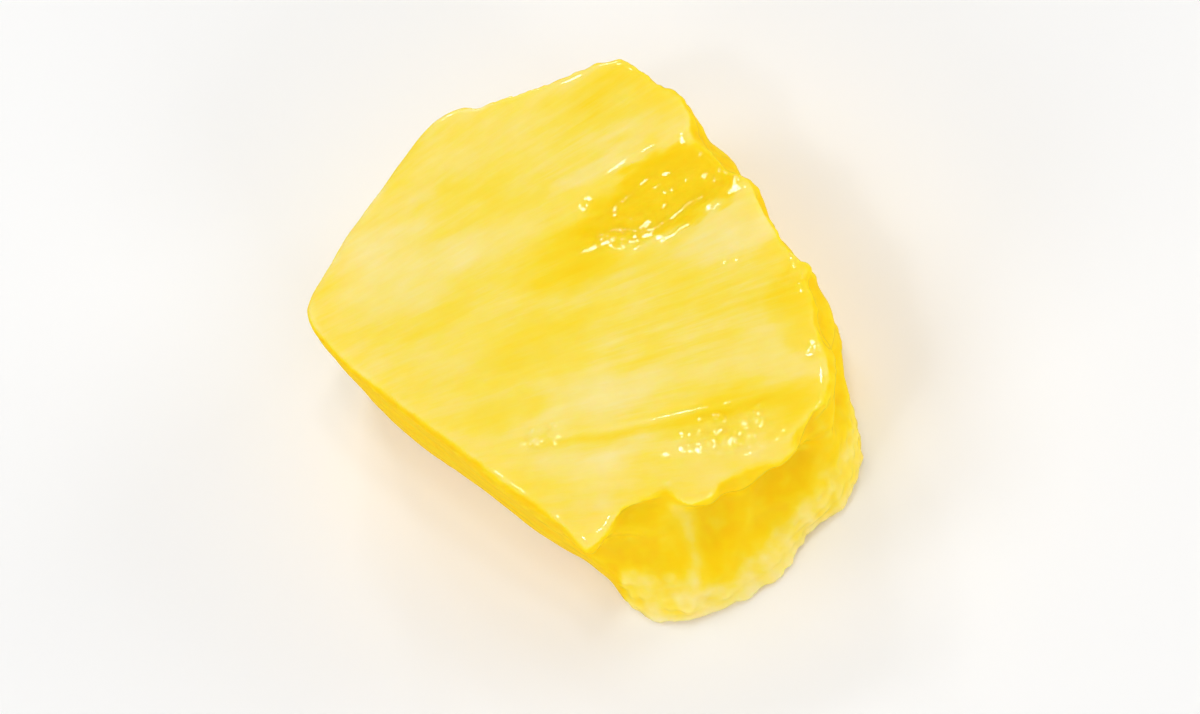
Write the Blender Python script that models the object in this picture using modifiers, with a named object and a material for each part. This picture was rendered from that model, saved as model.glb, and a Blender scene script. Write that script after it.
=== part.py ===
"""One wedge of peeled pineapple, lying on a cut face.

The wedge is a thick slice of the fruit cut into a chunk. Its upper and lower faces are knife cuts, two of
its walls are knife cuts too, and the remaining walls are the peeled outside of the fruit, with the hollows
that the cut-out eyes leave and a ragged fringe at the foot.

Metres, +Z up. The origin is the middle of the footprint, on the face that the wedge lies on. The fibres run
towards +X, from the core side to the peeled side.
"""

import math
from collections import namedtuple

import bmesh
import bpy
import numpy as np
from mathutils import Vector, noise

MM = 0.001
NODE_NAME = "pineapple_wedge"

# Driving sizes, in millimetres.
THICKNESS = 22.0
CORNER_ROUNDING = 1.4
EDGE_ROUNDING = 0.8
OUTLINE_STEP = 1.0
SHORTEST_WALL_STEPS = 6
WALL_BLEND = 4.0
LEVELS = 17
VOXEL = 0.78
TRIANGLES = 9600
FLAT_FOOT_BAND = 0.45
FOOT_TOLERANCE = 0.04

# The corners of the wedge, anticlockwise seen from above. Each row gives the corner on the upper face, the
# same corner on the lower face, and what the wall from it to the next corner is like: how far the wall bows
# out between its corners at the top and at the foot, how far it bellies out at half height, how deep its eye
# groove is, how far its foot flares, and how ragged it is, from 0 on a knife cut to 1 on a torn peeled side.
Corner = namedtuple("Corner", "name upper lower bow foot_bow belly groove flare ragged")
CORNERS = (
    Corner("tip", (-27.3, 15.0), (-25.8, 13.4), 0.7, 0.4, 0.2, 0.0, 0.0, 0.05),
    Corner("flank", (-22.9, 0.6), (-21.2, 0.0), -0.2, 0.2, 0.2, 0.0, 0.0, 0.05),
    Corner("heel", (-11.4, -25.4), (-10.1, -22.2), 0.7, 2.2, -0.4, 1.5, 0.6, 0.8),
    Corner("lip", (-0.4, -25.2), (-3.4, -32.2), 2.4, 1.8, 0.2, 3.2, 1.2, 0.9),
    Corner("knuckle", (20.9, -26.4), (20.2, -25.0), 1.3, 1.2, 0.7, 0.5, 0.2, 0.7),
    Corner("cheek", (26.3, -5.5), (26.4, -8.8), 0.8, 0.4, 0.2, 0.2, 0.0, 0.7),
    Corner("crown", (20.6, 24.6), (20.8, 22.8), 0.3, 0.8, 0.5, 0.3, 0.0, 0.4),
    Corner("shoulder", (-2.6, 30.0), (-1.4, 28.2), 0.6, 0.4, 0.2, 0.0, 0.0, 0.08),
)
GROOVE_HEIGHT = 12.8
GROOVE_HALF_WIDTH = 4.6
FLARE_HEIGHT = 4.0

# The hollows that the eyes leave on the peeled walls, in staggered rows.
EYE_ROW_HEIGHTS = (4.4, 12.8, 21.2)
EYE_PITCH = 12.4
EYE_RADIUS = 5.4
EYE_DEPTH = 1.7
EYE_UNEVENNESS = 0.35
EYE_STRAY = 1.5
EYE_WARP_PITCH = 3.1
HOLLOW_SLOPE = 0.85
EYE_GAIN = 1.2

# Two bites out of the rim of the upper face: wall, how far along it, height, radius and depth.
RIM_BITES = (
    ("heel", 0.9, 19.0, 4.0, 1.7),
    ("crown", 0.72, 20.0, 4.6, 1.5),
)

# The upper face: its fibres fan out from a point far on the core side.
FIBRE_ORIGIN = (-95.0, 11.0)
FIBRE_RELIEF = 0.34
FIBRE_PITCH = 2.6
FIBRE_LENGTH = 22.0
SWELL_RELIEF = 0.45
SWELL_LENGTH = 17.0

# The wet hollow of one eye, cut open lengthwise by the upper face.
EYE_CUT_CENTRE = (14.8, 7.4)
EYE_CUT_HALF_LENGTH = 12.0
EYE_CUT_HALF_WIDTH = 5.2
EYE_CUT_NARROWING = 0.35
EYE_CUT_WANDER = 0.9
EYE_CUT_DEPTH = 1.4
EYE_CUT_SLOPE = 0.75

# The ledge across the upper face, below which the face rounds over towards the peeled wall.
LEDGE_START = (-10.6, -13.0)
LEDGE_END = (15.0, -20.6)
LEDGE_SAG = 0.8
LEDGE_STEP = 0.8
LEDGE_STEP_WIDTH = 1.8
LEDGE_FALL = 1.9
LEDGE_FALL_START = 3.0
LEDGE_RUN = 8.5
LEDGE_FADE = 0.35

# The rounded ridge that parts the hollow under the ragged side in two: x and height of its two ends.
RIDGE_TOP = (0.6, 14.0)
RIDGE_FOOT = (-3.6, 5.5)
RIDGE_HALF_WIDTH = 2.1
RIDGE_HEIGHT = 1.8
RIDGE_SIDE = (-12.0, -18.0)

# The thin skirt along the foot of the ragged side, where no eye hollows the wall out.
SKIRT_SIDE = (-17.0, -22.0)
SKIRT_HEIGHT = (4.5, 8.5)

# The small flap that hangs from the heel.
FLAP_CENTRE = (-11.6, -25.4, 17.6)
FLAP_RADIUS = 3.8
FLAP_REACH = 2.3
FLAP_DIRECTION = (-0.15, -0.95, -0.35)

# The grain of the walls.
LOBE_SIZE = 1.1
TOOTH_SIZE = 0.9
RAGGED_PITCH = 3.4
RAGGED_HEIGHT = 6.0
PEBBLE_RELIEF = 0.38
PEBBLE_PITCH = 2.3
CUT_WALL_RELIEF = 0.3
CUT_WALL_STRAND_LENGTH = 9.0
CUT_WALL_STRAND_PITCH = 1.7
FACE_EDGE_BAND = (3.0, 0.3)
WALL_TILT_BAND = (0.35, 0.9)
SMOOTH_PASSES = 2
SMOOTH_FACTOR = 0.3


def smooth_step(value, low, high):
    """0 below low, 1 above high, and a smooth rise between them."""
    share = min(1.0, max(0.0, (value - low) / (high - low)))
    return share * share * (3.0 - 2.0 * share)


def grain(x, y, z=0.0):
    """Smooth noise from -1 to 1, the same on every run."""
    return noise.noise(Vector((x, y, z)))


def bowed_edge(start, end, bow, count):
    """Points from start towards end, without end, on an arc whose middle stands out by bow."""
    along = np.linspace(0.0, 1.0, count, endpoint=False)[:, None]
    start, end = np.array(start), np.array(end)
    run = end - start
    outward = np.array((run[1], -run[0])) / np.linalg.norm(run)
    return start + run * along + outward * bow * 4.0 * along * (1.0 - along)


def edge_counts():
    """How many outline points each wall gets, from its length on the upper face."""
    counts = []
    for here, following in zip(CORNERS, CORNERS[1:] + CORNERS[:1]):
        length = math.dist(here.upper, following.upper)
        counts.append(max(SHORTEST_WALL_STEPS, round(length / OUTLINE_STEP)))
    return counts


def circular_blur(values, width):
    """A closed row of values or points, softened over about width neighbours on each side."""
    reach = int(3 * width)
    total = np.zeros_like(values)
    weight_sum = 0.0
    for shift in range(-reach, reach + 1):
        weight = math.exp(-0.5 * (shift / width) ** 2)
        total += weight * np.roll(values, shift, axis=0)
        weight_sum += weight
    return total / weight_sum


def wall_values(trait, counts):
    """One trait of the walls spread along the outline, blending from wall to wall."""
    raw = [np.full(count, getattr(corner, trait)) for corner, count in zip(CORNERS, counts)]
    return circular_blur(np.concatenate(raw).astype(float), WALL_BLEND)


def section_outline(height, counts):
    """The outline of the wedge at a height, before its walls are shaped."""
    share = height / THICKNESS
    points = []
    for here, following, count in zip(CORNERS, CORNERS[1:] + CORNERS[:1], counts):
        start = np.array(here.lower) * (1 - share) + np.array(here.upper) * share
        end = np.array(following.lower) * (1 - share) + np.array(following.upper) * share
        bow = here.foot_bow * (1 - share) + here.bow * share
        points.append(bowed_edge(start, end, bow, count))
    return circular_blur(np.concatenate(points), CORNER_ROUNDING)


def outward_normals(points):
    """The outward direction at each point of a closed anticlockwise outline."""
    run = np.roll(points, -1, axis=0) - np.roll(points, 1, axis=0)
    normals = np.stack((run[:, 1], -run[:, 0]), axis=1)
    return normals / np.linalg.norm(normals, axis=1)[:, None]


def wall_offset(height, walls):
    """How far the wall stands out at a height, at each point of the outline."""
    belly = walls["belly"] * math.sin(math.pi * height / THICKNESS)
    groove = walls["groove"] * math.exp(-(((height - GROOVE_HEIGHT) / GROOVE_HALF_WIDTH) ** 2))
    flare = walls["flare"] * math.exp(-height / FLARE_HEIGHT)
    return belly - groove + flare


def ragged_offset(points, height, walls):
    """The scallops of a peeled wall: coarse lobes with finer teeth on them."""
    teeth = np.empty(len(points))
    for index, (x, y) in enumerate(points):
        lobe = grain(x / (2 * RAGGED_PITCH), y / (2 * RAGGED_PITCH), height / (2 * RAGGED_HEIGHT))
        tooth = grain(x / RAGGED_PITCH + 7.0, y / RAGGED_PITCH, height / RAGGED_HEIGHT)
        teeth[index] = LOBE_SIZE * lobe + TOOTH_SIZE * tooth
    return teeth * walls["ragged"]


def edge_inset(height):
    """How far the outline draws in where a cut face meets the walls."""
    to_face = min(height, THICKNESS - height)
    if to_face >= EDGE_ROUNDING:
        return 0.0
    return EDGE_ROUNDING - math.sqrt(EDGE_ROUNDING**2 - (EDGE_ROUNDING - to_face) ** 2)


def level_heights():
    """Heights of the sections, closer together near the two cut faces."""
    rounding = [0.0, 0.3 * EDGE_ROUNDING, EDGE_ROUNDING]
    middle = np.linspace(EDGE_ROUNDING, THICKNESS - EDGE_ROUNDING, LEVELS)[1:-1]
    return rounding + list(middle) + [THICKNESS - h for h in reversed(rounding)]


def shaped_section(height, counts, walls):
    """The finished outline at a height."""
    points = section_outline(height, counts)
    offset = wall_offset(height, walls) + ragged_offset(points, height, walls)
    return points + outward_normals(points) * (offset - edge_inset(height))[:, None]


def new_mesh_object(name, bm, collection):
    """An object in the collection, from a bmesh, which is then freed."""
    mesh = bpy.data.meshes.new(name)
    bm.to_mesh(mesh)
    bm.free()
    obj = bpy.data.objects.new(name, mesh)
    collection.objects.link(obj)
    return obj


def lofted_body(counts, walls, collection):
    """The closed body of the wedge, as a loft through its sections."""
    bm = bmesh.new()
    rings = []
    for height in level_heights():
        outline = shaped_section(height, counts, walls)
        rings.append([bm.verts.new((x * MM, y * MM, height * MM)) for x, y in outline])
    for lower, upper in zip(rings, rings[1:]):
        for index in range(len(lower)):
            after = (index + 1) % len(lower)
            bm.faces.new((lower[index], lower[after], upper[after], upper[index]))
    bm.faces.new(list(reversed(rings[0])))
    bm.faces.new(rings[-1])
    bmesh.ops.recalc_face_normals(bm, faces=bm.faces)
    return new_mesh_object("wedge_loft", bm, collection)


def evenly_remeshed(loft, collection):
    """The loft again with even faces, as a bmesh that the relief can move."""
    remesh = loft.modifiers.new("even_faces", "REMESH")
    remesh.mode = "VOXEL"
    remesh.voxel_size = VOXEL * MM
    bpy.context.view_layer.update()
    graph = bpy.context.evaluated_depsgraph_get()
    mesh = bpy.data.meshes.new_from_object(loft.evaluated_get(graph))
    bm = bmesh.new()
    bm.from_mesh(mesh)
    bpy.data.meshes.remove(mesh)
    bpy.data.objects.remove(loft)
    return bm


def fibre_coordinates(x, y):
    """Where a point lies along the fibres and across them."""
    dx, dy = x - FIBRE_ORIGIN[0], y - FIBRE_ORIGIN[1]
    reach = math.hypot(dx, dy)
    return reach, math.atan2(dy, dx) * abs(FIBRE_ORIGIN[0])


def eye_cut_depth(x, y):
    """The hollow of the eye that the upper face cuts open, narrower towards the core."""
    along = (x - EYE_CUT_CENTRE[0]) / EYE_CUT_HALF_LENGTH
    wander = EYE_CUT_WANDER * grain(x / PEBBLE_PITCH, y / PEBBLE_PITCH, 5.0)
    narrowing = 1.0 - EYE_CUT_NARROWING * smooth_step(-along, -0.2, 1.0)
    across = (y - EYE_CUT_CENTRE[1] + wander) / (EYE_CUT_HALF_WIDTH * narrowing)
    inside = 1.0 - along * along - across * across
    return EYE_CUT_DEPTH * smooth_step(inside, 0.0, EYE_CUT_SLOPE)


def below_ledge(x, y):
    """How far a point of the upper face lies below the ledge, and how much of the ledge is there."""
    start = np.array(LEDGE_START)
    run = np.array(LEDGE_END) - start
    length = np.linalg.norm(run)
    offset = np.array((x, y)) - start
    share = float(np.dot(offset, run)) / length**2
    sag = LEDGE_SAG * 4.0 * share * (1.0 - share) if 0.0 < share < 1.0 else 0.0
    down = np.array((run[1], -run[0])) / length
    distance = float(np.dot(offset, down)) - sag
    fade_in = smooth_step(share, -LEDGE_FADE, 0.0)
    fade_out = smooth_step(share, 1.0 - LEDGE_FADE, 1.0 + LEDGE_FADE)
    return distance, fade_in * (1.0 - fade_out)


def ledge_drop(x, y):
    """How far the upper face steps and then rounds down below the ledge."""
    distance, strength = below_ledge(x, y)
    step = LEDGE_STEP * smooth_step(distance, -LEDGE_STEP_WIDTH / 3, 2 * LEDGE_STEP_WIDTH / 3) * strength
    fall = LEDGE_FALL * smooth_step(distance, LEDGE_FALL_START, LEDGE_RUN)
    return step + fall


def upper_face_relief(x, y):
    """How far the upper face stands above its plane: fibres, swells, the cut eye and the ledge."""
    along, across = fibre_coordinates(x, y)
    fibres = FIBRE_RELIEF * grain(across / FIBRE_PITCH, along / FIBRE_LENGTH, 3.0)
    swell = SWELL_RELIEF * grain(x / SWELL_LENGTH, y / SWELL_LENGTH, 9.0)
    return fibres + swell - eye_cut_depth(x, y) - ledge_drop(x, y)


def rim_bite_places(counts, walls):
    """The centre, radius and depth of each bite out of the rim."""
    names = [corner.name for corner in CORNERS]
    starts = np.concatenate(([0], np.cumsum(counts)))
    places = []
    for wall, along, height, radius, depth in RIM_BITES:
        index = names.index(wall)
        place = int(starts[index] + along * counts[index]) % int(starts[-1])
        x, y = shaped_section(height, counts, walls)[place]
        places.append((np.array((x, y, height)), radius, depth))
    return places


def rim_bite(point, bites):
    """How far the bites take a point of the rim in."""
    deepest = 0.0
    for centre, radius, depth in bites:
        share = 1.0 - (np.linalg.norm(point - centre) / radius) ** 2
        deepest = max(deepest, depth * smooth_step(share, 0.0, HOLLOW_SLOPE))
    return deepest


def whim(column, row, trait):
    """A number from -1 to 1 that is always the same for one trait of one eye."""
    return grain(3.7 * column + 0.3, 5.3 * row + 0.6, 7.1 * trait + 0.5)


def eye_hollow(along, height):
    """How deep the eyes of a peeled wall hollow it out, at a distance along the wall and a height."""
    deepest = 0.0
    warp = EYE_UNEVENNESS * grain(along / EYE_WARP_PITCH, height / EYE_WARP_PITCH, 2.0)
    for row, row_height in enumerate(EYE_ROW_HEIGHTS):
        offset = EYE_PITCH / 2 if row % 2 else 0.0
        column = round((along - offset) / EYE_PITCH)
        centre_along = offset + column * EYE_PITCH + EYE_STRAY * whim(column, row, 0)
        centre_height = row_height + EYE_STRAY * whim(column, row, 1)
        size = 1.0 + EYE_UNEVENNESS * whim(column, row, 2)
        distance = math.hypot(along - centre_along, height - centre_height)
        share = 1.0 - (distance * (1.0 + warp) / (EYE_RADIUS * size)) ** 2
        deepest = max(deepest, EYE_DEPTH * size * smooth_step(share, 0.0, HOLLOW_SLOPE))
    return deepest


def outline_lengths(outline):
    """The distance along a closed outline at which each of its points lies."""
    steps = np.linalg.norm(outline - np.roll(outline, 1, axis=0), axis=1)
    steps[0] = 0.0
    return np.cumsum(steps)


def wall_relief(point, ragged):
    """How far a wall stands out: pebbles where it is peeled, faint strands where it is cut."""
    x, y, z = point / PEBBLE_PITCH
    pebbles = PEBBLE_RELIEF * min(1.0, ragged) * (grain(x, y, z) + 0.5 * grain(2 * x, 2 * y, 2 * z))
    strand = point / CUT_WALL_STRAND_LENGTH
    strands = grain(strand[0], strand[1], point[2] / CUT_WALL_STRAND_PITCH)
    return pebbles + CUT_WALL_RELIEF * (1.0 - min(1.0, ragged)) * strands


def flap_reach(point):
    """How far the flap at the heel pulls a point out."""
    share = 1.0 - (np.linalg.norm(point - np.array(FLAP_CENTRE)) / FLAP_RADIUS) ** 2
    return FLAP_REACH * smooth_step(share, 0.0, 1.0)


def ridge_reach(point):
    """How far the ridge in the ragged side's hollow stands out towards -Y."""
    top, foot = np.array(RIDGE_TOP), np.array(RIDGE_FOOT)
    run = foot - top
    offset = np.array((point[0], point[2])) - top
    share = min(1.0, max(0.0, float(np.dot(offset, run)) / float(np.dot(run, run))))
    distance = float(np.linalg.norm(offset - share * run))
    side = smooth_step(-point[1], -RIDGE_SIDE[0], -RIDGE_SIDE[1])
    return RIDGE_HEIGHT * side * math.exp(-((distance / RIDGE_HALF_WIDTH) ** 2))


def skirt_share(point):
    """1 on the skirt along the foot of the ragged side, 0 elsewhere."""
    side = smooth_step(-point[1], -SKIRT_SIDE[0], -SKIRT_SIDE[1])
    return side * (1.0 - smooth_step(point[2], *SKIRT_HEIGHT))


def add_relief(bm, counts, walls):
    """Moves the even faces into the relief of the cut faces and the walls."""
    outline = section_outline(THICKNESS / 2, counts)
    lengths = outline_lengths(outline)
    bites = rim_bite_places(counts, walls)
    edge_far, edge_near = FACE_EDGE_BAND
    bm.normal_update()
    moves = []
    for vert in bm.verts:
        point = np.array(vert.co) / MM
        sideways = np.array((vert.normal.x, vert.normal.y, 0.0))
        nearest = np.argmin(((outline - point[:2]) ** 2).sum(axis=1))
        ragged = float(walls["ragged"][nearest])
        wall = smooth_step(np.linalg.norm(sideways), *WALL_TILT_BAND)
        eyes = min(1.0, EYE_GAIN * ragged) * (1.0 - skirt_share(point))
        hollow = eyes * eye_hollow(lengths[nearest], point[2]) + rim_bite(point, bites)
        move = sideways * (wall * wall_relief(point, ragged) - hollow)
        move += np.array(FLAP_DIRECTION) * flap_reach(point)
        move[1] -= wall * ridge_reach(point)
        top = smooth_step(point[2], THICKNESS - edge_far, THICKNESS - edge_near)
        move[2] += top * upper_face_relief(point[0], point[1])
        moves.append((vert, move))
    for vert, move in moves:
        vert.co += Vector(move * MM)
    axes = {"use_axis_x": True, "use_axis_y": True, "use_axis_z": True}
    for _ in range(SMOOTH_PASSES):
        bmesh.ops.smooth_vert(bm, verts=bm.verts, factor=SMOOTH_FACTOR, **axes)


def rest_on_flat_foot(bm):
    """Flattens the lowest band onto z = 0 and centres the wedge over the origin."""
    lowest = min(vert.co.z for vert in bm.verts)
    for vert in bm.verts:
        vert.co.z = max(0.0, vert.co.z - lowest - FLAT_FOOT_BAND * MM)
    xs = [vert.co.x for vert in bm.verts]
    ys = [vert.co.y for vert in bm.verts]
    middle = Vector(((min(xs) + max(xs)) / 2, (min(ys) + max(ys)) / 2, 0.0))
    bmesh.ops.translate(bm, verts=bm.verts, vec=-middle)


def flesh_material():
    """Wet pineapple flesh."""
    material = bpy.data.materials.new("pineapple_flesh")
    material.use_nodes = True
    shader = material.node_tree.nodes["Principled BSDF"]
    shader.inputs["Base Color"].default_value = (0.96, 0.72, 0.12, 1.0)
    shader.inputs["Roughness"].default_value = 0.32
    shader.inputs["Metallic"].default_value = 0.0
    shader.inputs["Subsurface Weight"].default_value = 0.4
    return material


def thin_out(obj):
    """Fewer faces where the surface is flat, so that the solid stays light, and a truly flat foot."""
    obj.data.calc_loop_triangles()
    decimate = obj.modifiers.new("fewer_faces", "DECIMATE")
    decimate.ratio = min(1.0, TRIANGLES / len(obj.data.loop_triangles))
    bpy.context.view_layer.update()
    graph = bpy.context.evaluated_depsgraph_get()
    thinned = bpy.data.meshes.new_from_object(obj.evaluated_get(graph))
    obj.modifiers.remove(decimate)
    obj.data = thinned
    for vert in thinned.vertices:
        if vert.co.z < FOOT_TOLERANCE * MM:
            vert.co.z = 0.0


def build_wedge(collection):
    """The whole wedge as one solid."""
    counts = edge_counts()
    walls = {trait: wall_values(trait, counts) for trait in ("belly", "groove", "flare", "ragged")}
    bm = evenly_remeshed(lofted_body(counts, walls, collection), collection)
    add_relief(bm, counts, walls)
    rest_on_flat_foot(bm)
    bmesh.ops.triangulate(bm, faces=bm.faces)
    wedge = new_mesh_object(NODE_NAME, bm, collection)
    wedge.data.materials.append(flesh_material())
    wedge.data.shade_smooth()
    thin_out(wedge)
    return wedge


def clear_scene():
    """Removes every object of the open scene."""
    for obj in list(bpy.data.objects):
        bpy.data.objects.remove(obj, do_unlink=True)


def main():
    clear_scene()
    collection = bpy.data.collections.new("peeled_pineapple")
    bpy.context.scene.collection.children.link(collection)
    build_wedge(collection)


main()
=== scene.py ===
"""The look of one wedge of peeled pineapple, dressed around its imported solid.

The solid gives the form. This script copies its mesh, refines it, and adds what is finer than the solid:
the fibres of the cut faces, the wet crumpled inside of the cut-open eye, the crease of the ledge, the small
lumps of the peeled walls, and the torn flaps, teeth and nicks of their edges. It then adds the wet,
translucent flesh, a pale floor, soft studio light and a camera.

On the wedge, lengths are millimetres, in the frame of the solid, whose origin is the middle of the face
that the wedge lies on. On the stage, lengths are metres.
"""

import math
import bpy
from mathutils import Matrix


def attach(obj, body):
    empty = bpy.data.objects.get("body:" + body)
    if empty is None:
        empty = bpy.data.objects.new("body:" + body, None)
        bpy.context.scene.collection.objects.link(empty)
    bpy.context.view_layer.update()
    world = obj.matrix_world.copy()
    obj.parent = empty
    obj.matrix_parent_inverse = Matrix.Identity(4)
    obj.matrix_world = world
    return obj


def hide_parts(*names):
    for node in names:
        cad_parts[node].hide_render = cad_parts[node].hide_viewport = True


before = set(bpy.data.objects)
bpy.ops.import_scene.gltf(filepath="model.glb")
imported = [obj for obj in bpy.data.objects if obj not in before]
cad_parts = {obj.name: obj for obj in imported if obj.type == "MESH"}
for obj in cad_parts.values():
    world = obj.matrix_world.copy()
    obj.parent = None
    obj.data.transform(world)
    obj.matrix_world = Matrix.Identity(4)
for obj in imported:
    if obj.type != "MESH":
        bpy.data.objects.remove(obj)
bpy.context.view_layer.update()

from types import SimpleNamespace

import bpy
import numpy as np
from mathutils import Matrix, Vector, noise

MM = 0.001
NODE = "pineapple_wedge"
PIECE = "pineapple_flesh_wedge"

# How finely the copy of the solid is meshed.
WELD_DISTANCE = 0.001
SUBDIVISIONS = 2
VOXEL = 0.36

# How many rounds of softening each step takes.
SMOOTH_PASSES = 5
WALL_SMOOTH_PASSES = 26
EYE_SMOOTH_PASSES = 40
FOOT_SMOOTH_PASSES = 2
FINE_BULGE_PASSES = 10
BROAD_BULGE_PASSES = 70

# Noise comes in layers. Each gives its strength, the lengths that its bumps are stretched to in the three
# directions, and a shift that sets it apart from the others. Along a FLAT direction it doesn't change.
FLAT = math.inf

# Each pair that goes to smooth_step is where a share leaves 0 and where it reaches 1.
# Facing is how far a surface faces up or down, from 0 to 1.
FACE_FACING = (0.55, 0.9)
FACE_HEIGHT = (15.0, 18.0)
FOOT_FACING = (0.6, 0.95)
LEVEL_FACING = (0.5, 0.9)
ABOVE_FOOT = (0.8, 3.0)
NEAR_RIM = (17.5, 20.0)

# Farther than any two places of the wedge are apart.
FAR = 99.0
# The fibres fan out from here.
FIBRE_ORIGIN = (-95.0, 12.7)
# The two knife-cut walls, halfway up: from x y, to x y.
CUT_WALLS = (
    ((-26.6, 15.9), (-10.8, -22.2)),
    ((-2.2, 30.8), (-26.4, 15.9)),
)
CUT_WALL_EDGE = (2.2, 3.6)

# The eye that the upper face cuts open. It narrows towards its tail, and its border is torn.
EYE_CENTRE = (14.8, 9.1)
EYE_HALF_LENGTH = 12.0
EYE_HALF_WIDTH = 5.2
EYE_NARROWING = 0.35
EYE_NARROWS = (-0.2, 1.0)
EYE_WANDER = ((0.16, (2.3, 2.3, FLAT), 5.0),)
EYE_BORDER = 0.45
EYE_HEIGHT = (15.0, 17.0)
EYE_TORN = (
    (0.4, (3.5, 0.7, FLAT), 13.0),
    (0.2, (1.6, 0.4, FLAT), 23.0),
)
EYE_TAIL_SPREAD = 2.5
EYE_EDGE = (-0.1, 0.34)

# The ledge across the upper face, the crease along it and the lip below the crease.
LEDGE_START = (-10.6, -11.3)
LEDGE_END = (15.0, -18.9)
LEDGE_SAG = 0.8
LEDGE_WANDER = 0.25
LEDGE_WAVES = 6.0
LEDGE_BEGINS = (-0.08, 0.06)
LEDGE_ENDS = (0.92, 1.15)
CREASE_HALF_WIDTH = 0.42
CREASE_DEPTH = 0.08
LIP_DISTANCE = 1.6
LIP_HALF_WIDTH = 1.1
LIP_HEIGHT = 0.1

# The pale ridge in the hollow of the ragged side: x and height of the points that it runs through.
RIDGE_LINE = ((0.9, 16.5), (1.1, 12.5), (-0.2, 8.0), (-3.6, 5.8))
RIDGE_HALF_WIDTH = 1.0
RIDGE_WANDER = ((0.5, (1.6, FLAT, 2.0), 0.0),)
RIDGE_SIDE = (12.0, 18.0)

# The pale skirt along the foot of the ragged side. It is higher at a hump on the left and at its right end.
SKIRT_HEIGHT = 4.6
SKIRT_HUMP = 2.4
SKIRT_HUMP_X = -6.5
SKIRT_HUMP_HALF_WIDTH = 4.5
SKIRT_RISE = 2.2
SKIRT_RISES = (8.0, 15.0)
SKIRT_RAGGED = (
    (1.2, (2.2, 2.2, 2.5), 0.0),
    (0.35, (0.8, 0.8, 1.2), 0.0),
)
SKIRT_FADES = (-1.0, 2.4)
SKIRT_SIDE = (13.0, 21.0)

# Patches of the upper face lie along its fibres: x, y, half length, half width and strength. Noise makes
# their outlines stray.
PATCH_EDGE = (-0.9, 1.0)
PATCH_STRAY_X = (
    (2.6, (6.0, 2.2, FLAT), 11.0),
    (1.5, (2.5, 0.9, FLAT), 21.0),
)
PATCH_STRAY_Y = (
    (1.2, (9.0, 3.0, FLAT), 31.0),
    (0.7, (4.0, 0.8, FLAT), 41.0),
)
# Golden ones, where the juice shows.
GOLDEN_PATCHES = (
    (5.0, 7.6, 9.0, 3.0, 0.4),
    (3.4, 4.4, 7.0, 1.6, 0.22),
    (-5.3, -1.4, 10.0, 3.8, 0.2),
    (-13.5, 8.1, 6.0, 1.8, 0.14),
    (-4.0, 19.1, 6.0, 2.4, 0.12),
    (18.2, 22.5, 7.5, 3.8, 0.26),
    (24.0, -10.0, 3.6, 7.0, 0.25),
    (12.5, -19.4, 8.0, 2.4, 0.3),
    (-11.5, -6.7, 6.0, 1.7, 0.2),
)
# Pale ones.
PALE_PATCHES = (
    (20.5, 1.0, 5.5, 3.2, 0.45),
    (-14.0, 15.5, 9.0, 6.0, 0.4),
    (1.5, -10.5, 10.0, 2.6, 0.28),
    (-6.5, -17.6, 5.0, 2.4, 0.22),
    (10.5, 15.8, 5.0, 1.6, 0.55),
)
# Wet ones, where torn flesh glints.
WET_PATCHES = (
    (14.0, 8.6, 9.5, 3.4, 1.0),
    (15.2, 21.6, 5.0, 1.0, 0.6),
    (-8.6, -11.2, 2.4, 1.2, 1.2),
    (10.5, -20.8, 5.5, 2.4, 1.3),
    (24.6, -6.8, 1.8, 2.6, 0.9),
    (22.6, -17.0, 1.8, 2.8, 0.9),
    (-1.2, -22.8, 2.0, 1.4, 0.8),
    (19.5, -2.3, 2.4, 1.2, 0.7),
    (5.1, 21.7, 1.4, 0.7, 0.6),
    (4.6, 16.1, 1.4, 0.7, 0.6),
)
# Those where the fibres show as fine streaks.
STREAKY_PATCHES = (
    (13.0, -5.0, 13.0, 6.5, 1.0),
    (13.0, 20.0, 8.0, 4.0, 0.8),
    (-2.0, 6.0, 9.0, 4.0, 0.5),
    (2.0, -15.0, 13.0, 3.0, 0.6),
)

# Relief, in layers of noise. On the upper face it runs along the fibres.
FIBRE_RELIEF = (
    (0.05, (14.0, 0.9, 3.0), 0.0),
    (0.025, (9.0, 0.5, 3.0), 0.0),
)
CRUMPLE_RELIEF = (
    (0.2, (2.0, 0.9, FLAT), 3.3),
    (0.08, (1.0, 0.7, FLAT), 7.0),
)
PULP_RELIEF = ((0.2, (1.1, 0.9, FLAT), 17.0),)
WET_SPREAD = 1.2
# On the walls.
PEEL_RELIEF = (
    (0.22, (2.8, 2.8, 3.2), 0.0),
    (0.04, (1.0, 1.0, 1.2), 4.0),
    (0.03, (0.55, 0.55, 3.4), 9.0),
)
CUT_FIBRE_RELIEF = ((0.02, (9.0, 0.9, 0.9), 0.0),)
CUT_WAVE_RELIEF = ((0.1, (4.0, 4.0, 4.0), 0.0),)
FLAP_RELIEF = ((0.34, (1.3, 1.3, 1.2), 19.0),)
FLAP_HEIGHT = (1.0, 3.0)
# On the edges of the peeled walls: teeth at the foot and nicks at the rim.
TOOTH_RELIEF = (
    (0.5, (1.3, 1.3, FLAT), 2.0),
    (0.3, (0.7, 0.7, FLAT), 5.0),
)
TOOTH_REACH = 2.4
NICK_RELIEF = (
    (0.32, (1.6, 1.6, 1.8), 12.0),
    (0.16, (0.8, 0.8, 1.0), 15.0),
)
NICK_HEIGHT = (17.0, 20.0)
OFF_FLOOR = (0.0, 0.35)

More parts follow.
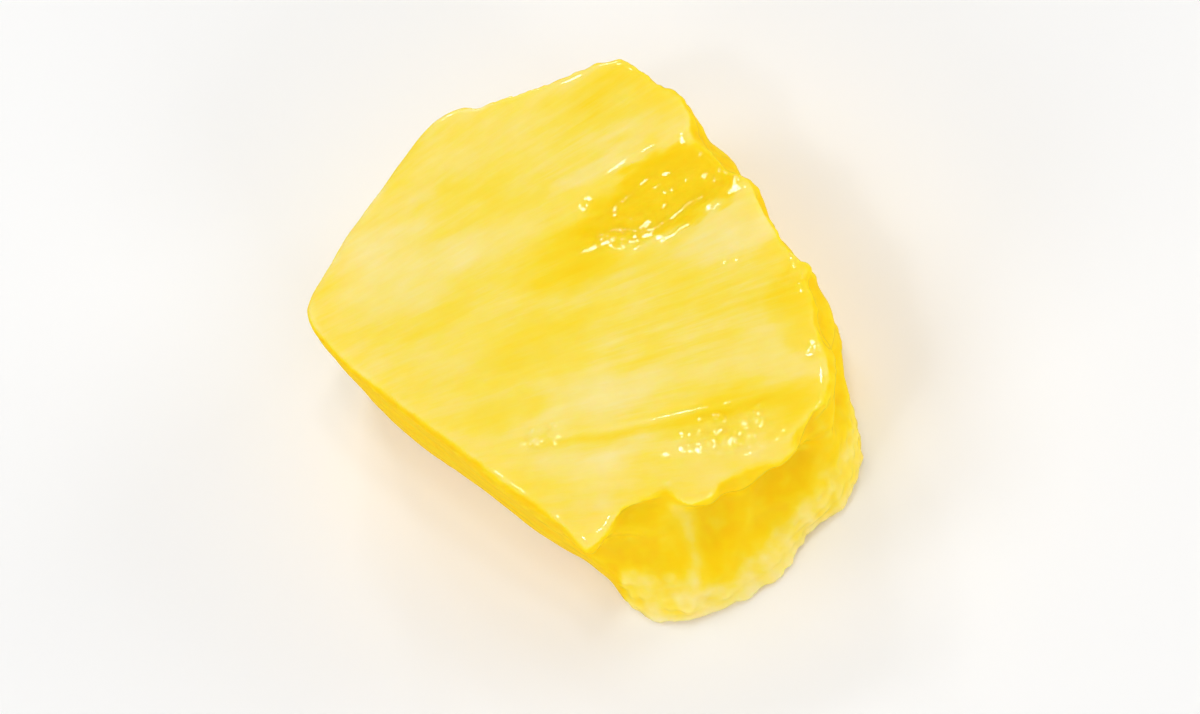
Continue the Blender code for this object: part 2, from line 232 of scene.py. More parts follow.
# The flesh runs from pale at 0, past golden at 1, to its deepest gold here. Each region has a base, and
# the amounts that are added where the things named with them lie.
GOLDEN_MOST = 1.25
FACE_GOLD = {
    "base": 0.45,
    "streaks": 0.14,
    "clouds": 0.1,
    "blotches": 0.12,
    "golden_patches": 0.9,
    "pale_patches": -0.5,
    # Deeper gold along the crease is painted shade.
    "crease": 0.22,
    "lip": -0.16,
}
EYE_GOLD = {"base": 1.0, "clouds": 0.1}
PEEL_GOLD = {
    "base": 1.06,
    "mottle": 0.16,
    "upright": 0.2,
    # Paler on bulges and deeper gold in hollows: painted highlight and painted shade.
    "broad_bulge": -0.3,
    "fine_bulge": -0.3,
    "pale_spots": -0.3,
    "ridge": -0.48,
}
SKIRT_GOLD = {
    "base": 0.42,
    "edge": -0.3,
    "right_end": 0.08,
    "rays": 0.2,
    "mottle": 0.16,
    # Paler where the flaps stand out and deeper gold between them: painted highlight and painted shade.
    "fine_bulge": -0.8,
}
# The extra gold of the left cut wall is painted shade.
CUT_GOLD = {"base": 0.8, "left_wall": 0.38, "fibres": 0.34, "clouds": 0.24}
FOOT_GOLD = {"base": 0.45, "streaks": 0.3}

# What lies on them, as noise, and where it begins and ends.
STREAKS = (
    (0.5, (13.0, 2.4, 9.0), 0.0),
    (0.3, (8.0, 1.0, 6.0), 0.0),
)
CLOUDS = ((1.0, (9.0, 9.0, 9.0), 2.0),)
BLOTCHES = (
    (1.0, (5.0, 2.8, 5.0), 7.0),
    (0.6, (2.2, 1.4, 2.0), 0.0),
)
MOTTLE = ((1.0, (3.2, 3.2, 3.2), 0.0),)
UPRIGHT = ((1.0, (1.1, 1.1, 5.0), 2.0),)
PALE_SPOTS = ((1.0, (2.2, 2.2, 2.2), 0.0),)
PALE_SPOT_EDGE = (0.3, 0.7)
SKIRT_RAYS = (
    (0.5, (0.9, 4.0, 7.0), 3.0),
    (1.0, (2.6, 5.0, 8.0), 6.0),
)
SKIRT_EDGE_HEIGHT = (0.6, 3.2)
SKIRT_RIGHT_END = (6.0, 14.0)
CUT_FIBRES = (
    (1.0, (10.0, 1.3, 1.3), 0.0),
    (0.6, (5.0, 0.6, 0.6), 0.0),
)
CUT_CLOUDS = ((1.0, (6.0, 6.0, 5.0), 0.0),)
# Where the painted shade of the left cut wall fades out, along y.
PAST_LEFT_WALL = (8.0, 18.0)

# The least and the most that a bulge counts for in the painted highlight on bulges and the painted shade in
# hollows.
PEEL_BROAD_BULGE = (-0.1, 0.5)
PEEL_FINE_BULGE = (-0.1, 0.2)
SKIRT_FINE_BULGE = (-0.15, 0.2)

# The pale rim of the upper face, a painted highlight on its rounded edge, broken here and there, and
# fainter on the right.
RIM_BULGE = (0.03, 0.16)
RIM_BREAKS = ((1.0, (3.0, 3.0, FLAT), 8.0),)
RIM_BREAK_EDGE = (-0.5, 0.5)
RIM_HEIGHT = (17.5, 19.5)
RIM_FADE = 0.8
RIM_FADES = (8.0, 20.0)
RIM_PALING = 0.2

# How wet the patches and the peeled walls are, and how streaky the flesh is outside and inside its patches.
PATCH_WETNESS = 1.15
PEEL_WETNESS = 0.25
STREAKY_LEAST = 0.14
STREAKY_MORE = 0.5


def srgb(red, green, blue):
    """A colour given in 0 to 255, as the linear values that Blender works with."""
    values = []
    for value in (red, green, blue):
        share = value / 255.0
        values.append(share / 12.92 if share <= 0.04045 else ((share + 0.055) / 1.055) ** 2.4)
    return (*values, 1.0)


def smooth_step(value, low, high):
    """0 below low, 1 above high, and a smooth rise between them."""
    share = np.clip((value - low) / (high - low), 0.0, 1.0)
    return share * share * (3.0 - 2.0 * share)


def bell(offset, half_width):
    """1 where the offset is 0, falling off smoothly on both sides."""
    return np.exp(-((offset / half_width) ** 2))


def grain(x, y, z):
    """Smooth noise from -1 to 1 at each place, the same on every run."""
    places = np.stack(np.broadcast_arrays(x, y, z), axis=-1).tolist()
    return np.array([noise.noise(place) for place in places])


def layered(places, layers):
    """The sum of some layers of noise at each place."""
    x, y, z = places.T
    total = np.zeros(len(places))
    for strength, (length_x, length_y, length_z), shift in layers:
        total += strength * grain(x / length_x, y / length_y, z / length_z + shift)
    return total


def blend(amounts, **shares):
    """A base amount, with so much added of each share."""
    total = amounts["base"]
    for name, share in shares.items():
        total = total + amounts[name] * share
    return total


def patches(places, rows):
    """How much of the patches covers each place of the upper face."""
    x = places[:, 0] + layered(places, PATCH_STRAY_X)
    y = places[:, 1] + layered(places, PATCH_STRAY_Y)
    cover = np.zeros(len(places))
    for centre_x, centre_y, half_length, half_width, strength in rows:
        turn = math.atan2(centre_y - FIBRE_ORIGIN[1], centre_x - FIBRE_ORIGIN[0])
        along = (x - centre_x) * math.cos(turn) + (y - centre_y) * math.sin(turn)
        across = (y - centre_y) * math.cos(turn) - (x - centre_x) * math.sin(turn)
        inside = 1.0 - (along / half_length) ** 2 - (across / half_width) ** 2
        cover += strength * smooth_step(inside, *PATCH_EDGE)
    return cover


class Flesh:
    """The fine mesh of the wedge as arrays, in millimetres."""

    def __init__(self, mesh):
        self.mesh = mesh
        count = len(mesh.vertices)
        places = np.empty(count * 3)
        mesh.vertices.foreach_get("co", places)
        self.places = places.reshape(-1, 3) / MM
        edges = np.empty(len(mesh.edges) * 2, dtype=np.int32)
        mesh.edges.foreach_get("vertices", edges)
        self.edges = edges.reshape(-1, 2)
        self.neighbours = np.bincount(edges, minlength=count)

    def neighbour_mean(self, values):
        """The mean of a value, or of a point, over each vertex's neighbours."""
        first, second = self.edges.T
        columns = []
        for column in np.atleast_2d(values.T):
            total = np.bincount(first, column[second], len(column))
            total += np.bincount(second, column[first], len(column))
            columns.append(total / self.neighbours)
        return columns[0] if values.ndim == 1 else np.stack(columns, axis=1)

    def smoothed(self, values, passes):
        """Values or points, softened by that many passes over the neighbours."""
        for _ in range(passes):
            values = 0.5 * values + 0.5 * self.neighbour_mean(values)
        return values

    def soften(self, share, passes):
        """Moves each vertex by its share of the way to where softening would put it."""
        self.places = self.places + share[:, None] * (self.smoothed(self.places, passes) - self.places)

    def write(self):
        """Puts the places back into the mesh."""
        self.mesh.vertices.foreach_set("co", (self.places * MM).ravel())
        self.mesh.update()

    def normals(self):
        """The direction that each vertex faces."""
        self.write()
        values = np.empty(len(self.places) * 3, dtype=np.float32)
        self.mesh.vertex_normals.foreach_get("vector", values)
        return values.reshape(-1, 3).astype(float)

    def bulge(self, passes):
        """How far each vertex stands out of its softened surroundings. It is below 0 in hollows."""
        offset = self.places - self.smoothed(self.places, passes)
        return (offset * self.normals()).sum(axis=1)

    def store(self, name, values):
        """Keeps a value, or a point, of each vertex for the material."""
        kind = "FLOAT" if values.ndim == 1 else "FLOAT_VECTOR"
        attribute = self.mesh.attributes.new(name, kind, "POINT")
        field = "value" if values.ndim == 1 else "vector"
        attribute.data.foreach_set(field, values.astype(np.float32).ravel())


def refined_copy(cad):
    """A fine, even copy of the solid's mesh, as a new object."""
    piece = bpy.data.objects.new(PIECE, cad.data.copy())
    bpy.context.scene.collection.objects.link(piece)
    piece.data.materials.clear()
    weld = piece.modifiers.new("weld", "WELD")
    weld.merge_threshold = WELD_DISTANCE * MM
    subdivide = piece.modifiers.new("subdivide", "SUBSURF")
    subdivide.levels = SUBDIVISIONS
    remesh = piece.modifiers.new("remesh", "REMESH")
    remesh.mode = "VOXEL"
    remesh.voxel_size = VOXEL * MM
    bpy.context.view_layer.update()
    graph = bpy.context.evaluated_depsgraph_get()
    fine = bpy.data.meshes.new_from_object(piece.evaluated_get(graph))
    piece.modifiers.clear()
    piece.data = fine
    fine.name = PIECE
    fine.shade_smooth()
    return piece


def cut_wall_share(places):
    """1 on the knife-cut walls and 0 on the peeled ones."""
    nearest = np.full(len(places), FAR)
    for start, end in CUT_WALLS:
        start = np.array(start)
        run = np.array(end) - start
        length = np.linalg.norm(run)
        offset = places[:, :2] - start
        along = offset @ run / length
        distance = np.abs(offset @ np.array((run[1], -run[0]))) / length
        beyond = np.maximum(0.0, np.maximum(-along, along - length))
        nearest = np.minimum(nearest, np.hypot(distance, beyond))
    return 1.0 - smooth_step(nearest, *CUT_WALL_EDGE)


def fibre_places(places):
    """Where each place lies along the fibres, across them, and up."""
    offset = places[:, :2] - np.array(FIBRE_ORIGIN)
    along = np.hypot(offset[:, 0], offset[:, 1])
    across = np.arctan2(offset[:, 1], offset[:, 0]) * abs(FIBRE_ORIGIN[0])
    return np.column_stack((along, across, places[:, 2]))


def eye_share(places):
    """1 in the middle of the cut-open eye, 0 at its border, less outside it."""
    along = (places[:, 0] - EYE_CENTRE[0]) / EYE_HALF_LENGTH
    narrowing = 1.0 - EYE_NARROWING * smooth_step(-along, *EYE_NARROWS)
    across = (places[:, 1] - EYE_CENTRE[1]) / (EYE_HALF_WIDTH * narrowing)
    across = across + layered(places, EYE_WANDER)
    return 1.0 - along**2 - across**2


def torn_eye_share(places, fibre):
    """1 on the golden inside of the cut-open eye, 0 past its torn border, softer towards the tail."""
    tail = smooth_step(EYE_CENTRE[0] - places[:, 0], 0.0, EYE_HALF_LENGTH)
    inside = (eye_share(places) + layered(fibre, EYE_TORN)) / (1.0 + EYE_TAIL_SPREAD * tail)
    return smooth_step(inside, *EYE_EDGE)


def ledge_shares(places):
    """How much of the crease, and of the lip below it, lies at each place."""
    start = np.array(LEDGE_START)
    run = np.array(LEDGE_END) - start
    length = np.linalg.norm(run)
    x, y = (places[:, :2] - start).T
    share = (x * run[0] + y * run[1]) / length**2
    inside = np.clip(share, 0.0, 1.0)
    sag = LEDGE_SAG * 4.0 * inside * (1.0 - inside) + LEDGE_WANDER * grain(LEDGE_WAVES * share, 0.5, 0.5)
    below = (x * run[1] - y * run[0]) / length - sag
    ends = smooth_step(share, *LEDGE_BEGINS) * (1.0 - smooth_step(share, *LEDGE_ENDS))
    return bell(below, CREASE_HALF_WIDTH) * ends, bell(below - LIP_DISTANCE, LIP_HALF_WIDTH) * ends


def ridge_share(places):
    """1 along the ridge that parts the hollow of the ragged side in two, 0 away from it."""
    distance = np.full(len(places), FAR)
    for top, foot in zip(RIDGE_LINE, RIDGE_LINE[1:]):
        run = np.array(foot) - np.array(top)
        offset = places[:, (0, 2)] - np.array(top)
        share = np.clip(offset @ run / (run @ run), 0.0, 1.0)
        distance = np.minimum(distance, np.linalg.norm(offset - share[:, None] * run, axis=1))
    distance += layered(places, RIDGE_WANDER)
    return bell(distance, RIDGE_HALF_WIDTH) * smooth_step(-places[:, 1], *RIDGE_SIDE)


def skirt_share(places):
    """1 on the pale skirt along the foot of the ragged side, 0 above it."""
    x, y, z = places.T
    hump = SKIRT_HUMP * bell(x - SKIRT_HUMP_X, SKIRT_HUMP_HALF_WIDTH)
    height = SKIRT_HEIGHT + hump + SKIRT_RISE * smooth_step(x, *SKIRT_RISES)
    above = z + layered(places, SKIRT_RAGGED) - height
    return (1.0 - smooth_step(above, *SKIRT_FADES)) * smooth_step(-y, *SKIRT_SIDE)


def soften_walls(flesh):
    """Rounds the folds of the walls, and leaves the rim and the foot as sharp as they are."""
    z = flesh.places[:, 2]
    wall = 1.0 - smooth_step(np.abs(flesh.normals()[:, 2]), *LEVEL_FACING)
    between = smooth_step(z, *ABOVE_FOOT) * (1.0 - smooth_step(z, *NEAR_RIM))
    flesh.soften(flesh.smoothed(wall * between, FINE_BULGE_PASSES), WALL_SMOOTH_PASSES)


def soften_eye(flesh):
    """Blends the border of the cut-open eye into the face around it."""
    border = bell(eye_share(flesh.places), EYE_BORDER)
    flesh.soften(border * smooth_step(flesh.places[:, 2], *EYE_HEIGHT), EYE_SMOOTH_PASSES)


def region_masks(flesh):
    """How much of each region, and of each feature of the regions, lies at each vertex."""
    places = flesh.places
    facing = flesh.normals()[:, 2]
    up = smooth_step(facing, *FACE_FACING) * smooth_step(places[:, 2], *FACE_HEIGHT)
    foot = smooth_step(-facing, *FOOT_FACING)
    wall = (1.0 - up) * (1.0 - foot)
    cut = cut_wall_share(places)
    peeled = wall * (1.0 - cut)
    fibre = fibre_places(places)
    crease, lip = ledge_shares(places)
    return SimpleNamespace(
        up=up,
        foot=foot,
        wall=wall,
        cut=cut,
        peeled=peeled,
        fibre=fibre,
        eye=torn_eye_share(places, fibre) * up,
        crease=crease * up,
        lip=lip * up,
        wet=patches(places, WET_PATCHES) * up,
        skirt=skirt_share(places) * peeled,
    )


def face_relief(masks):
    """How far the upper face stands out: its fibres, its wet torn flesh, its crease and its lip."""
    torn = layered(masks.fibre, CRUMPLE_RELIEF) + layered(masks.fibre, PULP_RELIEF) * (1.0 - masks.eye)
    relief = layered(masks.fibre, FIBRE_RELIEF) + np.minimum(1.0, WET_SPREAD * masks.wet) * torn
    return (relief - CREASE_DEPTH * masks.crease + LIP_HEIGHT * masks.lip) * masks.up


def wall_relief(places, masks):
    """How far the walls stand out: lumps and threads where peeled, fibres where cut, flaps on the skirt."""
    cut = layered(masks.fibre, CUT_FIBRE_RELIEF) + layered(places, CUT_WAVE_RELIEF)
    flaps = layered(places, FLAP_RELIEF) * masks.skirt * smooth_step(places[:, 2], *FLAP_HEIGHT)
    return masks.peeled * layered(places, PEEL_RELIEF) + masks.wall * masks.cut * cut + flaps


def edge_relief(places, masks, near_foot):
    """How far the edges of the peeled walls stand out sideways: teeth at the foot and nicks at the rim."""
    near_top = smooth_step(places[:, 2], *NICK_HEIGHT) * (1.0 - masks.cut)
    teeth = layered(places, TOOTH_RELIEF) * near_foot * masks.peeled
    return teeth + layered(places, NICK_RELIEF) * near_top


def add_relief(flesh, masks):
    """Moves each vertex by everything that is finer than the solid. What lies on the floor stays level."""
    places = flesh.places
    normals = flesh.normals()
    near_foot = bell(places[:, 2], TOOTH_REACH)
    outward = face_relief(masks) + wall_relief(places, masks)
    sideways = edge_relief(places, masks, near_foot)
    move = normals * outward[:, None] + normals * np.array((1.0, 1.0, 0.0)) * sideways[:, None]
    move[:, 2] *= smooth_step(places[:, 2], *OFF_FLOOR)
    flesh.places = places + move
    flesh.soften(near_foot * masks.peeled, FOOT_SMOOTH_PASSES)
    flesh.places[:, 2] = np.maximum(0.0, flesh.places[:, 2])
    flesh.write()


def face_gold(places, fibre, masks, streaks):
    """How golden the upper face is, with its cut-open eye and painted shade along the crease."""
    clouds = layered(places, CLOUDS)
    face = blend(
        FACE_GOLD,
        streaks=streaks,
        clouds=clouds,
        blotches=layered(fibre, BLOTCHES),
        golden_patches=patches(places, GOLDEN_PATCHES),
        pale_patches=patches(places, PALE_PATCHES),
        crease=masks.crease,
        lip=masks.lip,
    )
    return face + (blend(EYE_GOLD, clouds=clouds) - face) * masks.eye


def peel_gold(places, masks, fine_bulge, broad_bulge):
    """How golden the peeled walls are, with the pale ridge and the pale skirt, paler on bulges as painted
    highlight and deeper in hollows as painted shade.
    """
    mottle = layered(places, MOTTLE)
    peel = blend(
        PEEL_GOLD,
        mottle=mottle,
        upright=layered(places, UPRIGHT),
        broad_bulge=np.clip(broad_bulge, *PEEL_BROAD_BULGE),
        fine_bulge=np.clip(fine_bulge, *PEEL_FINE_BULGE),
        pale_spots=smooth_step(layered(places, PALE_SPOTS), *PALE_SPOT_EDGE),
        ridge=ridge_share(places),
    )
    skirt = blend(
        SKIRT_GOLD,
        edge=1.0 - smooth_step(places[:, 2], *SKIRT_EDGE_HEIGHT),
        right_end=smooth_step(places[:, 0], *SKIRT_RIGHT_END),
        rays=layered(places, SKIRT_RAYS),
        mottle=mottle,
        fine_bulge=np.clip(fine_bulge, *SKIRT_FINE_BULGE),
    )
    return peel * (1.0 - masks.skirt) + skirt * masks.skirt


def cut_gold(places, fibre):
    """How golden the knife-cut walls are. The left one is deeper gold, which is painted shade."""
    return blend(
        CUT_GOLD,
        left_wall=1.0 - smooth_step(places[:, 1], *PAST_LEFT_WALL),
        fibres=layered(fibre, CUT_FIBRES),
        clouds=layered(places, CUT_CLOUDS),
    )


def painted_rim_highlight(places, masks, fine_bulge):
    """How much of the pale rim of the upper face, a painted highlight on its rounded edge, lies at each
    place.
    """
    x, _, z = places.T
    rim = smooth_step(fine_bulge, *RIM_BULGE) * smooth_step(layered(places, RIM_BREAKS), *RIM_BREAK_EDGE)
    rim = rim * (1.0 - masks.eye) * masks.up * smooth_step(z, *RIM_HEIGHT)
    return rim * (1.0 - RIM_FADE * smooth_step(x, *RIM_FADES))


def paint(flesh, masks):
    """Stores what the material reads: how golden, how much painted rim highlight, how wet and how streaky
    each place is.
    """
    places = flesh.places
    # Along and across as before the relief, up as after it.
    fibre = np.column_stack((masks.fibre[:, :2], places[:, 2]))
    # How far each place bulges, for the painted rim highlight and the painted highlight and shade of the
    # peeled walls.
    fine_bulge = flesh.bulge(FINE_BULGE_PASSES)
    broad_bulge = flesh.bulge(BROAD_BULGE_PASSES)
    streaks = layered(fibre, STREAKS)
    rim = painted_rim_highlight(places, masks, fine_bulge)

    face = face_gold(places, fibre, masks, streaks)
    peel = peel_gold(places, masks, fine_bulge, broad_bulge)
    wall = masks.cut * cut_gold(places, fibre) + (1.0 - masks.cut) * peel
    foot = blend(FOOT_GOLD, streaks=streaks)
    # The rim is paled by its painted highlight.
    golden = masks.up * face + masks.wall * wall + masks.foot * foot - RIM_PALING * rim
    wet = PATCH_WETNESS * masks.wet + PEEL_WETNESS * masks.peeled
    streaky = STREAKY_LEAST + STREAKY_MORE * np.minimum(1.0, patches(places, STREAKY_PATCHES))

    flesh.store("golden", np.clip(golden, 0.0, GOLDEN_MOST))
    flesh.store("rim", rim)
    flesh.store("wet", np.clip(wet, 0.0, 1.0))
    flesh.store("streaky", streaky)
    flesh.store("fibre_place", fibre)


# The flesh as light meets it, by the sockets of its shader.
FLESH_SETTINGS = {
    "IOR": 1.4,
    "Subsurface Weight": 0.6,
    "Subsurface Radius": (1.0, 0.6, 0.12),
    "Subsurface Scale": 2.8 * MM,
    "Specular Tint": (1.0, 0.96, 0.8, 1.0),
    "Specular IOR Level": 0.3,
    "Coat Weight": 0.55,
    "Coat Roughness": 0.03,
    "Coat IOR": 1.62,
}
# Its colours, evenly spaced from pale to the deepest gold, and the painted highlight of its pale rim.
FLESH_COLOURS = (
    (255, 235, 172),
    (255, 230, 138),
    (255, 225, 86),
    (255, 219, 38),
    (255, 212, 4),
    (254, 202, 0),
)
RIM_HIGHLIGHT_COLOUR = (255, 231, 176)
RIM_HIGHLIGHT_SHARE = 0.35
# Its noises: how often they repeat in a millimetre along the fibres, across them and up, how many finer
# layers they have, and how strong those are.
FINE_STREAKS = ((0.09, 1.3, 0.25), 5.0, 0.6)
FLECKS = ((0.3, 1.6, 0.6), 4.0, 0.6)
ROUGH_SPOTS = ((0.5, 1.2, 1.0), 3.0, 0.5)
FIBRE_BUMPS = ((0.16, 2.6, 0.5), 4.0, 0.62)
CRUMPLE_BUMPS = ((0.8, 1.7, 1.3), 1.0, 0.4)
NOISE_MIDDLE = 0.5
FLECK_GOLD = 0.25
ROUGHNESS_LEAST = 0.35
ROUGHNESS_MORE = 0.2
FIBRE_BUMP_HEIGHT = 0.06
CRUMPLE_BUMP_HEIGHT = 0.5
BUMP_STRENGTH = 0.3
BUMP_DISTANCE = 0.6


def attribute(tree, name, output="Fac"):
    """One stored value of the mesh."""
    node = tree.nodes.new("ShaderNodeAttribute")
    node.attribute_name = name
    return node.outputs[output]


def fibre_noise(tree, place, repeats, detail, roughness):
    """Noise over the fibre places, stretched into streaks."""
    stretch = tree.nodes.new("ShaderNodeMapping")
    stretch.inputs["Scale"].default_value = repeats
    tree.links.new(place, stretch.inputs["Vector"])
    texture = tree.nodes.new("ShaderNodeTexNoise")
    texture.inputs["Scale"].default_value = 1.0
    texture.inputs["Detail"].default_value = detail
    texture.inputs["Roughness"].default_value = roughness
    tree.links.new(stretch.outputs["Vector"], texture.inputs["Vector"])
    return texture.outputs["Fac"]


def maths(tree, operation, first, second, clamp=False):
    """One step of arithmetic on sockets or numbers."""
    node = tree.nodes.new("ShaderNodeMath")
    node.operation = operation
    node.use_clamp = clamp
    for socket, value in zip(node.inputs, (first, second)):
        if isinstance(value, float):
            socket.default_value = value
        else:
            tree.links.new(value, socket)
    return node.outputs[0]


def even_ramp(tree, factor, colours):
    """A colour ramp with the given colours, evenly spaced."""
    node = tree.nodes.new("ShaderNodeValToRGB")
    elements = node.color_ramp.elements
    elements[0].color = srgb(*colours[0])
    elements[1].color = srgb(*colours[-1])
    for index, colour in enumerate(colours[1:-1], start=1):
        elements.new(index / (len(colours) - 1)).color = srgb(*colour)
    tree.links.new(factor, node.inputs["Fac"])
    return node.outputs["Color"]


def flesh_colour(tree, place):
    """Pale to deep gold, with streaks and flecks, and the painted highlight of the pale rim over it."""
    streaks = maths(tree, "SUBTRACT", fibre_noise(tree, place, *FINE_STREAKS), NOISE_MIDDLE)
    flecks = maths(tree, "SUBTRACT", fibre_noise(tree, place, *FLECKS), NOISE_MIDDLE)
    streak_lift = maths(tree, "MULTIPLY", streaks, attribute(tree, "streaky"))
    fleck_lift = maths(tree, "MULTIPLY", flecks, FLECK_GOLD)
    lift = maths(tree, "ADD", streak_lift, fleck_lift)
    golden = maths(tree, "ADD", attribute(tree, "golden"), lift)
    factor = maths(tree, "DIVIDE", golden, GOLDEN_MOST, clamp=True)
    # The painted highlight of the rim, laid over the flesh colour.
    rim_highlight = tree.nodes.new("ShaderNodeMix")
    rim_highlight.data_type = "RGBA"
    rim_highlight.inputs["B"].default_value = srgb(*RIM_HIGHLIGHT_COLOUR)
    tree.links.new(even_ramp(tree, factor, FLESH_COLOURS), rim_highlight.inputs["A"])
    rim = maths(tree, "MULTIPLY", attribute(tree, "rim"), RIM_HIGHLIGHT_SHARE, clamp=True)
    tree.links.new(rim, rim_highlight.inputs["Factor"])
    return rim_highlight.outputs["Result"]


def flesh_roughness(tree, place):
    """A roughness that varies from spot to spot."""
    more = maths(tree, "MULTIPLY", fibre_noise(tree, place, *ROUGH_SPOTS), ROUGHNESS_MORE)
    return maths(tree, "ADD", more, ROUGHNESS_LEAST)


def flesh_bump(tree, place):
    """The finest unevenness: fibres everywhere, and crumples where the flesh is wet."""
    fibres = maths(tree, "MULTIPLY", fibre_noise(tree, place, *FIBRE_BUMPS), FIBRE_BUMP_HEIGHT)
    crumples = maths(tree, "MULTIPLY", fibre_noise(tree, place, *CRUMPLE_BUMPS), attribute(tree, "wet"))
    wet_height = maths(tree, "MULTIPLY", crumples, CRUMPLE_BUMP_HEIGHT)
    bump = tree.nodes.new("ShaderNodeBump")
    bump.inputs["Strength"].default_value = BUMP_STRENGTH
    bump.inputs["Distance"].default_value = BUMP_DISTANCE * MM
    tree.links.new(maths(tree, "ADD", fibres, wet_height), bump.inputs["Height"])
    return bump.outputs["Normal"]


def flesh_material():
    """Wet, translucent flesh, golden where the juice shows, pale along fibres, and with a painted highlight
    along the rims.
    """
    material = bpy.data.materials.new("pineapple_flesh")
    material.use_nodes = True
    tree = material.node_tree
    shader = tree.nodes["Principled BSDF"]
    for name, value in FLESH_SETTINGS.items():
        shader.inputs[name].default_value = value
    place = attribute(tree, "fibre_place", "Vector")
    tree.links.new(flesh_colour(tree, place), shader.inputs["Base Color"])
    tree.links.new(flesh_roughness(tree, place), shader.inputs["Roughness"])
    tree.links.new(flesh_bump(tree, place), shader.inputs["Normal"])
    return material


def dress_wedge():
    """Builds the wedge as it is seen, in place of its solid."""
    piece = refined_copy(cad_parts[NODE])
    flesh = Flesh(piece.data)
    flesh.places = flesh.smoothed(flesh.places, SMOOTH_PASSES)
    soften_walls(flesh)
    soften_eye(flesh)
    masks = region_masks(flesh)
    add_relief(flesh, masks)
    paint(flesh, masks)
    piece.data.materials.append(flesh_material())
    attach(piece, "root")
    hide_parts(NODE)


# The stage: floor, light and camera.
FLOOR_HALF = 3.0
FLOOR_DROP = 0.1 * MM
FLOOR_COLOUR = (250, 250, 250)
FLOOR_ROUGHNESS = 0.7
FLOOR_SPECULAR = 0.2
WORLD_LIGHT = (0.375, 0.375, 0.375, 1.0)
WORLD_MIRRORED = (0.92, 0.63, 0.05, 1.0)
SOFT_LIGHTS = (
    # name, place, size and power
    ("key", (-0.5, 0.35, 0.8), 0.4, 1.6),
    ("front", (0.25, -0.92, 0.34), 0.5, 2.65),
    ("left", (-0.88, -0.34, 0.34), 0.5, 2.35),
    ("right", (0.92, 0.05, 0.34), 0.5, 2.65),
)
# Small lights that wet flesh mirrors into the camera wherever it is tilted by so many degrees from the
# level, towards so many degrees from the near side round by the right. None matches a long straight edge.
GLINT_TILTS = (
    (11.0, 34.0),
    (12.0, 8.0),
    (13.0, 143.0),
    (12.0, 182.0),
    (23.0, 160.0),
    (24.0, 325.0),
)
GLINT_DISTANCE = 0.9
GLINT_SIZE = 0.09
GLINT_POWER = 0.48
CAMERA_ELEVATION = 65.5
CAMERA_ROLL = 27.1
CAMERA_LENS = 135.0
CAMERA_DISTANCE = 0.51
CAMERA_AIM = (0.0008, -0.0008, 0.011)
CAMERA_SEES_FROM = 0.02
CAMERA_SEES_TO = 20.0
SENSOR_WIDTH = 36.0


def make_floor():
    """A plain pale floor."""
    material = bpy.data.materials.new("floor")
    material.use_nodes = True
    shader = material.node_tree.nodes["Principled BSDF"]
    shader.inputs["Base Color"].default_value = srgb(*FLOOR_COLOUR)
    shader.inputs["Roughness"].default_value = FLOOR_ROUGHNESS
    shader.inputs["Specular IOR Level"].default_value = FLOOR_SPECULAR
    sides = ((-1.0, -1.0), (1.0, -1.0), (1.0, 1.0), (-1.0, 1.0))
    corners = [(FLOOR_HALF * x, FLOOR_HALF * y, -FLOOR_DROP) for x, y in sides]
    mesh = bpy.data.meshes.new("floor")
    mesh.from_pydata(corners, [], [(0, 1, 2, 3)])
    mesh.materials.append(material)
    floor = bpy.data.objects.new("floor", mesh)
    bpy.context.scene.collection.objects.link(floor)
    floor.visible_glossy = False


def make_light(name, place, size, power, glints):
    """A square light that points at the wedge. Only those that glint are mirrored in wet flesh."""
    data = bpy.data.lights.new(name, "AREA")
    data.size = size
    data.energy = power
    light = bpy.data.objects.new(name, data)
    light.location = place
    light.rotation_euler = (-Vector(place)).to_track_quat("-Z", "Y").to_euler()
    light.visible_glossy = glints
    bpy.context.scene.collection.objects.link(light)


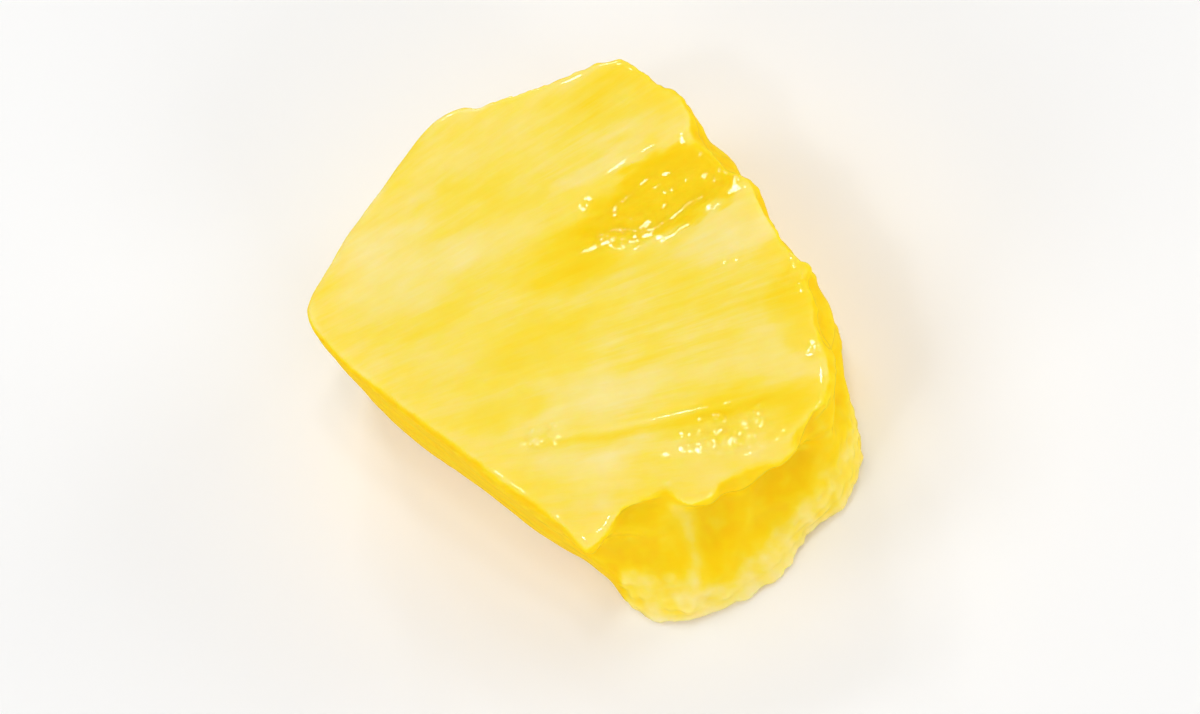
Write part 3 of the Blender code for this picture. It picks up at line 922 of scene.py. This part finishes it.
def towards_camera():
    """The direction from the wedge to the camera."""
    elevation = math.radians(CAMERA_ELEVATION)
    return Vector((0.0, -math.cos(elevation), math.sin(elevation)))


def make_glint_lights():
    """Small lights, each where a facet of wet flesh with a given tilt mirrors it into the camera."""
    view = towards_camera()
    for index, (tilt, turn) in enumerate(GLINT_TILTS):
        tilt, turn = math.radians(tilt), math.radians(turn)
        side = math.sin(tilt)
        facet = Vector((side * math.sin(turn), -side * math.cos(turn), math.cos(tilt)))
        place = (2.0 * view.dot(facet) * facet - view) * GLINT_DISTANCE
        make_light(f"glint_{index}", place, GLINT_SIZE, GLINT_POWER, glints=True)


def make_world():
    """An even white surround, which wet flesh mirrors as a warm yellow, so that it stays deep in colour."""
    world = bpy.data.worlds.new("studio")
    world.use_nodes = True
    tree = world.node_tree
    background = tree.nodes["Background"]
    background.inputs["Strength"].default_value = 1.0
    rays = tree.nodes.new("ShaderNodeLightPath")
    tint = tree.nodes.new("ShaderNodeMix")
    tint.data_type = "RGBA"
    tint.inputs["A"].default_value = WORLD_LIGHT
    tint.inputs["B"].default_value = WORLD_MIRRORED
    tree.links.new(rays.outputs["Is Glossy Ray"], tint.inputs["Factor"])
    tree.links.new(tint.outputs["Result"], background.inputs["Color"])
    bpy.context.scene.world = world
    bpy.context.scene.view_settings.view_transform = "Standard"


def make_camera():
    """Looks down on the wedge from its ragged side, with the picture rolled as in the photo."""
    data = bpy.data.cameras.new("camera")
    data.lens = CAMERA_LENS
    data.sensor_width = SENSOR_WIDTH
    data.clip_start = CAMERA_SEES_FROM
    data.clip_end = CAMERA_SEES_TO
    camera = bpy.data.objects.new("camera", data)
    back = towards_camera()
    camera.location = Vector(CAMERA_AIM) + back * CAMERA_DISTANCE
    roll = Matrix.Rotation(-math.radians(CAMERA_ROLL), 3, "Z")
    camera.rotation_euler = ((-back).to_track_quat("-Z", "Y").to_matrix() @ roll).to_euler()
    bpy.context.scene.collection.objects.link(camera)
    bpy.context.scene.camera = camera


dress_wedge()
make_floor()
make_world()
for light_row in SOFT_LIGHTS:
    make_light(*light_row, glints=False)
make_glint_lights()
make_camera()
